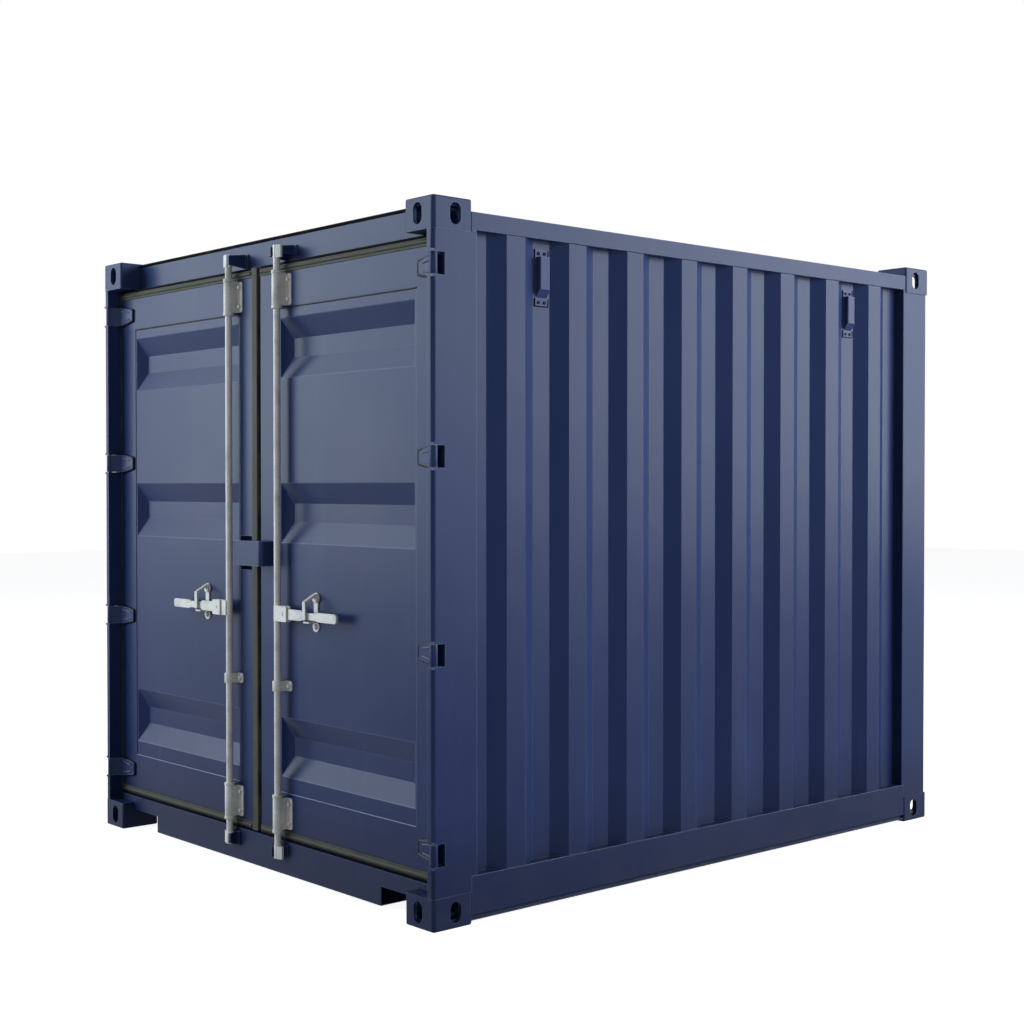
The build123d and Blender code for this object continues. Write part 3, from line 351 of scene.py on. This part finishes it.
# %% Make the plywood
grain_light, grain_dark = srgb(150, 112, 74), srgb(104, 72, 44)
walked_wood, scratched_wood = srgb(92, 78, 64), srgb(170, 140, 104)
grain_stretch, scratch_stretch = (6.0, 0.35, 6.0), (1.0, 0.06, 1.0)
grain_levels, wear_levels, scratch_levels = (0.35, 0.70), (0.40, 0.70), (0.66, 0.74)
wood_grain = 0.0008


def floor_plywood(name):
    wood = new_finish(name)
    grain = wood.noise(30.0, 8.0, 0.65, wood.stretched(grain_stretch))
    wear = wood.between(wood.noise(1.8, 5.0), *wear_levels)
    scratches = wood.noise(60.0, 6.0, 0.7, wood.stretched(scratch_stretch))
    scratches = wood.between(scratches, *scratch_levels)
    tone = wood.blend(wood.between(grain, *grain_levels), grain_light, grain_dark)
    tone = wood.blend(wear * 0.5, tone, walked_wood)
    tone = wood.blend(scratches * 0.4, tone, scratched_wood)
    relief = wood.bump(grain, wood_grain, 0.5)
    return wood.surface(Base_Color=tone, Roughness=0.6 + wear * 0.2, Normal=relief)


plywood_finish = floor_plywood("floor plywood")
print("plywood made")

# %% [markdown]
# ## Every node gets its finish
# The slot of a node says what it is made of. Thin sheets take the wavier paint. The stiles and
# rails of the doors meet flush, so their paint has no rubbed edges with their painted highlight,
# which would draw lines there.

# %% Give every node its finish
sheet_nodes = ("left_side_wall", "right_side_wall", "end_wall", "roof_panel",
               "left_door_panel", "right_door_panel")
flush_nodes = ("left_door_rails", "right_door_rails", "left_door_stiles", "right_door_stiles")
finish_of_slot = {"navy_paint": frame_paint, "galvanised_steel": zinc_finish,
                  "door_rubber": rubber_finish, "floor_plywood": plywood_finish,
                  "vent_paint": vent_paint}
finish_of_node = {part["node"]: finish_of_slot[part["material_slot"]]
                  for part in frame["record"]["subparts"]}
finish_of_node.update(dict.fromkeys(sheet_nodes, sheet_paint))
finish_of_node.update(dict.fromkeys(flush_nodes, flush_paint))
for name, finish in finish_of_node.items():
    nodes[name].data.materials.clear()
    nodes[name].data.materials.append(finish)
print("finished nodes:", len(finish_of_node))

# %% [markdown]
# ## Softened edges
# No edge of rolled or pressed steel is truly sharp: each has a small radius that catches a thin
# line of light. The nodes come as loose triangles, so a Weld modifier joins their corners first,
# and a Bevel modifier then rounds every edge that turns by more than a third of a right angle.

# %% Round the edges of the nodes
edge_radius = {"casting": 0.0025, "post": 0.0025, "rail": 0.0020, "header": 0.0020,
               "sill": 0.0025, "stiles": 0.0015, "blades": 0.0015, "bearings": 0.0015,
               "fittings": 0.0012, "handle": 0.0015, "catch": 0.0010, "keepers": 0.0015,
               "vents": 0.0010, "lock_box": 0.0015, "pocket": 0.0010, "gasket": 0.0015}
joined_below = 0.00001
rounded_above, edge_segments = 30, 2


def soften(piece, radius):
    weld = piece.modifiers.new("weld", "WELD")
    weld.merge_threshold = joined_below
    bevel = piece.modifiers.new("soft edges", "BEVEL")
    bevel.width = radius
    bevel.segments = edge_segments
    bevel.limit_method = "ANGLE"
    bevel.angle_limit = math.radians(rounded_above)


softened = 0
for name, node in nodes.items():
    radii = [radius for word, radius in edge_radius.items() if word in name]
    if radii and name not in flush_nodes:
        soften(node, radii[0])
        softened += 1
print("nodes with softened edges:", softened)

# %% [markdown]
# ## Tools for small fittings
# The measured model stops at the pieces that carry load. Bolts, screws, weld beads, ribs and the
# near-black beads that paint shadow lines are modelled here. Each operator acts on all that is
# selected, so everything is deselected first, and in edit mode the faces are picked by the way
# they look. What repeats is modelled once with its head towards +Z, copied to its places, turned
# to its face and joined.

# %% Tools for modelling in edit mode
facing = 0.9
smooth_below = 35


def deselect():
    """Goes back to object mode with nothing selected."""
    if bpy.context.object and bpy.context.object.mode != "OBJECT":
        bpy.ops.object.mode_set(mode="OBJECT")
    bpy.ops.object.select_all(action="DESELECT")


def pick_faces(test):
    """Selects the faces of the active piece that pass a test, and leaves it in edit mode."""
    bpy.ops.object.mode_set(mode="EDIT")
    bpy.ops.mesh.select_mode(type="FACE")
    bpy.ops.mesh.select_all(action="DESELECT")
    bpy.ops.object.mode_set(mode="OBJECT")
    for face in bpy.context.object.data.polygons:
        face.select = test(face)
    bpy.ops.object.mode_set(mode="EDIT")


def pick_top():
    pick_faces(lambda face: face.normal.z > facing)


def pick_ends():
    pick_faces(lambda face: abs(face.normal.z) > facing)


def join_all(made):
    """Joins several new shapes into one piece with its place in its mesh and soft edges smooth."""
    deselect()
    for one in made:
        one.select_set(True)
        bpy.context.view_layer.objects.active = one
    bpy.ops.object.join()
    bpy.ops.object.transform_apply(location=True, rotation=True, scale=True)
    bpy.ops.object.shade_smooth_by_angle(angle=math.radians(smooth_below))
    return bpy.context.object


def join_copies(model, places, turn=(0, 0, 0)):
    """Copies a model to every place with one turn, and joins the copies into one piece."""
    copies = []
    for place in places:
        copy = model.copy()
        copy.data = model.data.copy()
        copy.location, copy.rotation_euler = place, turn
        bpy.context.collection.objects.link(copy)
        copies.append(copy)
    return join_all(copies)


def hand_over(piece, name, body, finish):
    """Names a finished piece, gives it its finish and lets it ride on its body."""
    piece.name = name
    piece.data.materials.clear()
    piece.data.materials.append(finish)
    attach(piece, body)
    print(name, "faces:", len(piece.data.polygons))


hands = (("right", 1), ("left", -1))
print("pieces of the doors are made for each hand:", hands)

# %% [markdown]
# ## Bolts
# Each long bearing is held by hexagon bolts with washers, two on each of its flanges, and the
# short guide by one on each side. One more bolt holds the foot of each catch base. The head is a
# six sided cylinder. Its top face is inset and raised, which gives the chamfer of a forged head.
# The washer is added in edit mode, so that both become one mesh.

# %% Model one bolt
bolt_sides, bolt_head_radius, bolt_head_height = 6, 0.0095, 0.0060
bolt_chamfer_width, bolt_chamfer_height = 0.0016, 0.0010
washer_radius, washer_height, washer_facets = 0.0125, 0.0022, 20


def model_bolt():
    deselect()
    bpy.ops.mesh.primitive_cylinder_add(vertices=bolt_sides, radius=bolt_head_radius,
                                        depth=bolt_head_height,
                                        location=(0, 0, washer_height + bolt_head_height / 2))
    bpy.ops.object.transform_apply(location=True)
    pick_top()
    bpy.ops.mesh.inset(thickness=bolt_chamfer_width)
    bpy.ops.transform.translate(value=(0, 0, bolt_chamfer_height))
    bpy.ops.mesh.primitive_cylinder_add(vertices=washer_facets, radius=washer_radius,
                                        depth=washer_height, location=(0, 0, washer_height / 2))
    deselect()
    return bpy.context.object


bolt = model_bolt()
print("one bolt:", [round(size * 1000, 1) for size in bolt.dimensions], "mm")

# %% Bolt the bearings and the catch bases
leaf_face = -1.430
bearing_face = leaf_face - 0.006
catch_base_face = leaf_face - 0.005
bar_from_middle, flange_from_bar = 0.182, 0.0385
bolt_heights = (0.220, 0.298, 0.772, 2.316, 2.394)
catch_foot_from_middle, catch_foot_height = 0.408, 1.0218
to_front = (math.pi / 2, 0, 0)
for hand, sign in hands:
    places = [(sign * bar_from_middle + side * flange_from_bar, bearing_face, height)
              for height in bolt_heights for side in (-1, 1)]
    places.append((sign * catch_foot_from_middle, catch_base_face, catch_foot_height))
    bolts = join_copies(bolt, places, to_front)
    hand_over(bolts, f"{hand}_bearing_bolts", f"{hand}_door", zinc_finish)
bpy.data.objects.remove(bolt)

# %% [markdown]
# ## Weld beads and ribs
# The blades of the hinges are welded to the leaf along their edges. The welds are painted near
# black, so that they also paint the shade round each blade. Two pressed ribs stiffen each blade.
# A bead is a thin cylinder between two points. Its end faces are inset and pushed out, so that it
# runs out softly, and a scatter of its points gives it the uneven look of a weld.

# %% Model beads between two points
end_inset, end_push = 0.4, 0.5
scatter_cuts, scatter_seed = 3, 7


def bead(start, end, radius, facets=8, uneven=0.0):
    """A thin round bead from one point to the other."""
    start, end = Vector(start), Vector(end)
    run = end - start
    deselect()
    bpy.ops.mesh.primitive_cylinder_add(vertices=facets, radius=radius, depth=run.length)
    pick_ends()
    bpy.ops.mesh.inset(thickness=radius * end_inset, depth=radius * end_push)
    if uneven:
        bpy.ops.mesh.select_all(action="SELECT")
        bpy.ops.mesh.subdivide(number_cuts=scatter_cuts)
        bpy.ops.transform.vertex_random(offset=uneven, seed=scatter_seed)
    deselect()
    made = bpy.context.object
    made.rotation_euler = run.to_track_quat("Z", "Y").to_euler()
    made.location = (start + end) / 2
    return made


print("ends of beads are pushed out by", end_push, "of their radius")

# %% Weld and stiffen the hinge blades
hinge_heights = (0.269, 0.9755, 1.6757, 2.353)
weld_tip, weld_bend = (1.060, leaf_face - 0.0045, 0.024), (1.153, leaf_face - 0.0065, 0.041)
rib_tip, rib_bend = (1.088, leaf_face - 0.0085, 0.015), (1.150, leaf_face - 0.0110, 0.024)
lower_weld, upper_weld, tip_weld, rib_radius = 0.0062, 0.0052, 0.0050, 0.0042
long_scatter, tip_scatter = 0.0005, 0.0004


def on_blade(point, sign, height, up):
    """A point of a blade, from how far it is to the side, its depth, and how far it is up."""
    return (sign * point[0], point[1], height + up * point[2])


for hand, sign in hands:
    blade_outlines, ribs = [], []
    for height in hinge_heights:
        for up, radius in ((-1, lower_weld), (1, upper_weld)):
            run = [on_blade(point, sign, height, up) for point in (weld_tip, weld_bend)]
            blade_outlines.append(bead(*run, radius, uneven=long_scatter))
        run = [on_blade(weld_tip, sign, height, up) for up in (-1, 1)]
        blade_outlines.append(bead(*run, tip_weld, uneven=tip_scatter))
        for up in (-1, 1):
            run = [on_blade(point, sign, height, up) for point in (rib_tip, rib_bend)]
            ribs.append(bead(*run, rib_radius))
    hand_over(join_all(blade_outlines), f"{hand}_blade_welds_and_shade_lines", f"{hand}_door", weld_and_shade_paint)
    hand_over(join_all(ribs), f"{hand}_blade_ribs", f"{hand}_door", frame_paint)

# %% [markdown]
# ## The edges of the pressed panels
# A pressed panel is welded into each leaf a little behind the face of the rails. A near-black
# bead along its top, and down the outer edge of the left leaf, paints the shadow of that step. At
# its foot a pale strip paints a highlight, which shows as a light line across both leaves.

# %% Paint the shadow lines and the highlight of the panels
panel_sides = (0.150, 1.040)
panel_foot, panel_head = 0.339, 2.285
foot_edge_face = leaf_face - 0.0005
head_shadow_line, side_shadow_line, foot_edge = 0.0038, 0.0022, 0.0022


def across(sign, sides, depth, height, radius, facets=8):
    """A level bead across a leaf, from its inner to its outer side."""
    inner, outer = [(sign * side, depth, height) for side in sides]
    return bead(inner, outer, radius, facets)


for hand, sign in hands:
    panel_shadows = [across(sign, panel_sides, leaf_face, panel_head, head_shadow_line)]
    if hand == "left":
        foot, head = [(sign * panel_sides[1], leaf_face, z) for z in (panel_foot, panel_head)]
        panel_shadows.append(bead(foot, head, side_shadow_line))
    hand_over(join_all(panel_shadows), f"{hand}_panel_shadow_lines", f"{hand}_door", weld_and_shade_paint)
    highlight_line = [across(sign, panel_sides, foot_edge_face, panel_foot, foot_edge)]
    hand_over(join_all(highlight_line), f"{hand}_panel_foot_highlight", f"{hand}_door", highlight_strip_paint)

# %% [markdown]
# ## Lips of the door seals
# The rubber at the head and foot of each leaf swells into a round lip, which takes the light on
# its upper side. Beside it, near-black beads paint the shade of the gap between the rubber and the
# frame. The right leaf is the wider one, so its lips start nearer to the middle.

# %% Model the seal lips
seal_sides = {"right": (0.016, 1.174), "left": (0.060, 1.174)}
lip_face = leaf_face + 0.001
lip_heights, lip_radius, lip_facets = (0.1690, 2.4450), 0.0095, 16
seal_shade_lines = ((0.1545, 0.0060), (2.4615, 0.0060), (2.4290, 0.0022))
for hand, sign in hands:
    sides = seal_sides[hand]
    lips = [across(sign, sides, lip_face, height, lip_radius, lip_facets) for height in lip_heights]
    hand_over(join_all(lips), f"{hand}_seal_lips", f"{hand}_door", rubber_finish)
    edges = [across(sign, sides, leaf_face, height, radius) for height, radius in seal_shade_lines]
    hand_over(join_all(edges), f"{hand}_seal_shade_lines", f"{hand}_door", shadow_bead_finish)

# %% [markdown]
# ## Seams of the frame
# A near-black bead along the seam where the roof sheet meets the header paints its shadow line,
# and near-black beads round the flanges of the vents paint their shade.

# %% Paint shadow lines at the roof seam and round the vents
seal_half_length, seal_face, seal_height, seal_radius = 1.052, -1.391, 2.5795, 0.0080
roof_shadow_bead = bead((-seal_half_length, seal_face, seal_height),
                 (seal_half_length, seal_face, seal_height), seal_radius)
hand_over(join_all([roof_shadow_bead]), "roof_front_shadow_bead", "frame", shadow_bead_finish)

vent_middles, vent_face, vent_half_width = (-0.9441, 0.9297), 1.176, 0.0335
flange_heights, outline_radius = ((2.242, 2.270), (2.424, 2.452)), 0.0022
vent_foot = flange_heights[0][0]
for hand, sign in hands:
    outline = []
    for middle in vent_middles:
        near, far = middle - vent_half_width, middle + vent_half_width
        edges = [((side, low), (side, high))
                 for low, high in flange_heights for side in (near, far)]
        edges.append(((near, vent_foot), (far, vent_foot)))
        for edge in edges:
            start, end = [(sign * vent_face, *point) for point in edge]
            outline.append(bead(start, end, outline_radius))
    hand_over(join_all(outline), f"{hand}_vent_shade_outline", "frame", weld_and_shade_paint)

# %% [markdown]
# ## Rims and rings of the lock gear
# A pressed rim runs round each flange of the two long bearings, and stop rings sit on the bar
# beside them. A ring is a short cylinder whose end faces are inset and drawn out to shoulders.

# %% Model the rims and the rings
bearing_middles, rim_from_bar = (0.259, 2.355), flange_from_bar + 0.0005
rim_half_height, rim_half_width, rim_radius = 0.0570, 0.0085, 0.0018
bar_depth = -1.464
ring_radius, ring_height, ring_facets = 0.0190, 0.0070, 24
shoulder_width, shoulder_height = 0.0030, 0.0025
ring_places = (0.3305, 2.2835, 2.4270)


def model_ring():
    deselect()
    bpy.ops.mesh.primitive_cylinder_add(vertices=ring_facets, radius=ring_radius, depth=ring_height)
    pick_ends()
    bpy.ops.mesh.inset(thickness=shoulder_width, depth=shoulder_height)
    deselect()
    return bpy.context.object


ring = model_ring()
for hand, sign in hands:
    rims = []
    for middle in bearing_middles:
        for side in (-1, 1):
            centre = sign * bar_from_middle + side * rim_from_bar
            left, right = centre - rim_half_width, centre + rim_half_width
            foot, head = middle - rim_half_height, middle + rim_half_height
            corners = [(x, bearing_face, z)
                       for x, z in ((left, foot), (right, foot), (right, head), (left, head))]
            rims += [bead(corners[turn - 1], corners[turn], rim_radius) for turn in range(4)]
    rims = join_all(rims)
    hand_over(rims, f"{hand}_bearing_rims", f"{hand}_door", zinc_finish)
    places = [(sign * bar_from_middle, bar_depth, height) for height in ring_places]
    rings = join_copies(ring, places)
    hand_over(rings, f"{hand}_bar_rings", f"{hand}_bar", zinc_finish)
bpy.data.objects.remove(ring)

# %% [markdown]
# ## Screws
# Pan head screws hold the flanges of the vents, and flush screws hold the floor boards to the
# cross members. A screw head is a flat cylinder: its top is inset twice, raised into a low dome
# and pressed in at the middle as the recess for the driver.

# %% Screw on the vents
screw_facets = 12
dome_width, dome_height, recess_rim = 0.25, 0.35, 0.35


def model_screw(radius, height, recess):
    """A screw head; the widths of its dome and rim are shares of its radius or height."""
    deselect()
    bpy.ops.mesh.primitive_cylinder_add(vertices=screw_facets, radius=radius, depth=height,
                                        location=(0, 0, height / 2))
    bpy.ops.object.transform_apply(location=True)
    pick_top()
    bpy.ops.mesh.inset(thickness=radius * dome_width)
    bpy.ops.transform.translate(value=(0, 0, height * dome_height))
    bpy.ops.mesh.inset(thickness=radius * recess_rim)
    bpy.ops.transform.translate(value=(0, 0, -recess))
    deselect()
    return bpy.context.object


vent_screw = model_screw(radius=0.0062, height=0.0025, recess=0.0020)
screw_heights, screw_from_middle = (2.438, 2.256), 0.015
for hand, sign in hands:
    places = [(sign * vent_face, middle + side * screw_from_middle, height)
              for middle in vent_middles for height in screw_heights for side in (-1, 1)]
    screws = join_copies(vent_screw, places, (0, sign * math.pi / 2, 0))
    # The vent screws take the near-black paint of the shade lines.
    hand_over(screws, f"{hand}_vent_screws", "frame", weld_and_shade_paint)
bpy.data.objects.remove(vent_screw)

# %% Screw down the floor
floor_screw = model_screw(radius=0.0070, height=0.0006, recess=0.0008)
screw_seat = 0.1738
first_member, member_pitch, member_count = -1.1232, 0.34356, 8
first_screw, screw_pitch, screws_a_side = 0.06, 0.206, 6
places = [(side * (first_screw + screw_pitch * across_floor),
           first_member + member_pitch * along_floor, screw_seat)
          for along_floor in range(member_count) for side in (-1, 1)
          for across_floor in range(screws_a_side)]
screws = join_copies(floor_screw, places)
hand_over(screws, "floor_screws", "frame", zinc_finish)
bpy.data.objects.remove(floor_screw)

# %% [markdown]
# ## The ground
# The ground is a plain pale floor. It shows white to the camera, and keeps the soft shadow of the
# container, but it is duller to every other ray, so the paint darkens towards the ground as it
# does outdoors. The world behind it is white to the camera in the same way, and dim otherwise.

# %% Lay the ground and the sky
ground_width = 60
dull_ground, pale_ground = (0.30, 0.30, 0.31, 1.0), (0.40, 0.40, 0.40, 1.0)
white, ground_glow = (1.0, 1.0, 1.0, 1.0), 0.90
dim_sky, dim_strength = (0.80, 0.88, 1.0, 1.0), 0.15

bpy.ops.mesh.primitive_plane_add(size=ground_width, location=(0, 0, 0))
ground = bpy.context.object
ground.name = "ground"

soil = new_finish("pale ground")
dull = soil.node("ShaderNodeBsdfDiffuse", "BSDF", {}, {"Color": dull_ground})
pale = soil.node("ShaderNodeBsdfDiffuse", "BSDF", {}, {"Color": pale_ground})
glow = {"Color": white, "Strength": ground_glow}
glow = soil.node("ShaderNodeEmission", "Emission", {}, glow)
seen = soil.node("ShaderNodeAddShader", "Shader", {}, {0: pale, 1: glow})
mixed = soil.node("ShaderNodeMixShader", "Shader", {}, {0: soil.pale_rays(), 1: dull, 2: seen})
soil.node("ShaderNodeOutputMaterial", None, {}, {"Surface": mixed})
ground.data.materials.append(soil.owner)

room = Finish(bpy.data.worlds.new("studio"))
dim = {"Color": dim_sky, "Strength": dim_strength}
dim = room.node("ShaderNodeBackground", "Background", {}, dim)
bright = room.node("ShaderNodeBackground", "Background", {}, {"Color": white, "Strength": 1.0})
mixed = room.node("ShaderNodeMixShader", "Shader", {}, {0: room.pale_rays(), 1: dim, 2: bright})
room.node("ShaderNodeOutputWorld", None, {}, {"Surface": mixed})
bpy.context.scene.world = room.owner
print("ground and sky laid, the ground is", ground_width, "m wide")

# %% [markdown]
# ## The lamps
# Two wide soft lamps stand where the door end and the side mirror them to the camera. A dim
# overhead lamp fills the rest, and a small one near the camera lifts the round bars. Each row
# below gives a lamp's name, its place, the point it faces, its size, its power and its tint.

# %% Hang the lamps
lamps = (
    ("door side lamp", (-7.0, -8.0, 4.7), (0.0, -1.5, 1.6), (7.0, 8.5), 1500, (0.81, 0.92, 1.0)),
    ("wall side lamp", (8.5, 7.5, 4.4), (1.2, 0.0, 1.6), (8.0, 7.0), 2050, (0.87, 0.93, 1.0)),
    ("overhead lamp", (0.0, 0.0, 8.0), (0.0, 0.0, 0.0), (7.0, 7.0), 60, (0.9, 0.95, 1.0)),
    ("front fill", (7.5, -8.0, 3.0), (0.4, -1.0, 1.3), (5.0, 4.0), 170, (1.0, 1.0, 1.0)))
for name, place, towards, size, power, tint in lamps:
    bpy.ops.object.light_add(type="AREA", location=place)
    lamp = bpy.context.object
    lamp.name = name
    lamp.data.shape = "RECTANGLE"
    lamp.data.size, lamp.data.size_y = size
    lamp.data.energy = power
    lamp.data.color = tint
    run = Vector(towards) - Vector(place)
    lamp.rotation_euler = run.to_track_quat("-Z", "Y").to_euler()
print("lamps:", [row[0] for row in lamps])

# %% [markdown]
# ## The colours on screen
# The colours are shown as they are written.

# %% Show the colours as they are written
bpy.context.scene.view_settings.view_transform = "Standard"
